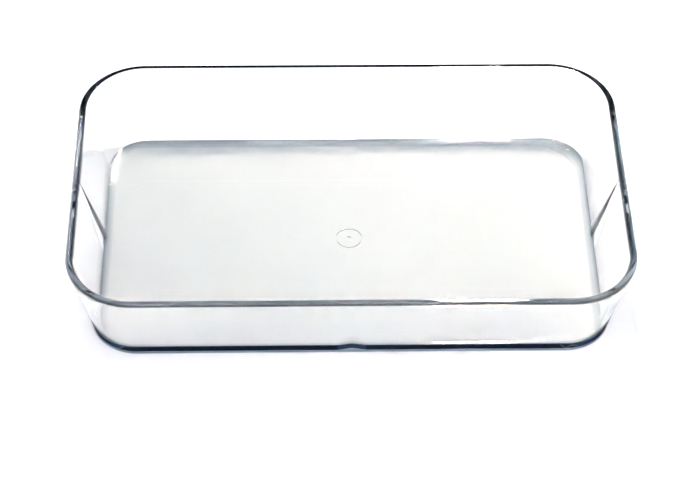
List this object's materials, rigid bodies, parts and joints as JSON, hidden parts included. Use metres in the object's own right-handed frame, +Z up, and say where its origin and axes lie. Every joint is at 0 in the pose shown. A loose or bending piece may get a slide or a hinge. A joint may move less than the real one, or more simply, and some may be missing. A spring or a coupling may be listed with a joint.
{
  "type": "developing tray",
  "caption": "Clear one-piece open tray with a flat floor, leaning walls, large round corners and a shallow V crease in the middle of each wall.",
  "frame": {"origin": "centre of the underside, where the tray rests", "axes": "+X along the long side, +Y along the short side, +Z up out of the open top"},
  "size_m": [0.26, 0.16, 0.043],
  "materials": {
    "clear_plastic": "polished, colourless and transparent"
  },
  "bodies": {
    "root": {"tray": "clear_plastic"}
  },
  "joints": []
}
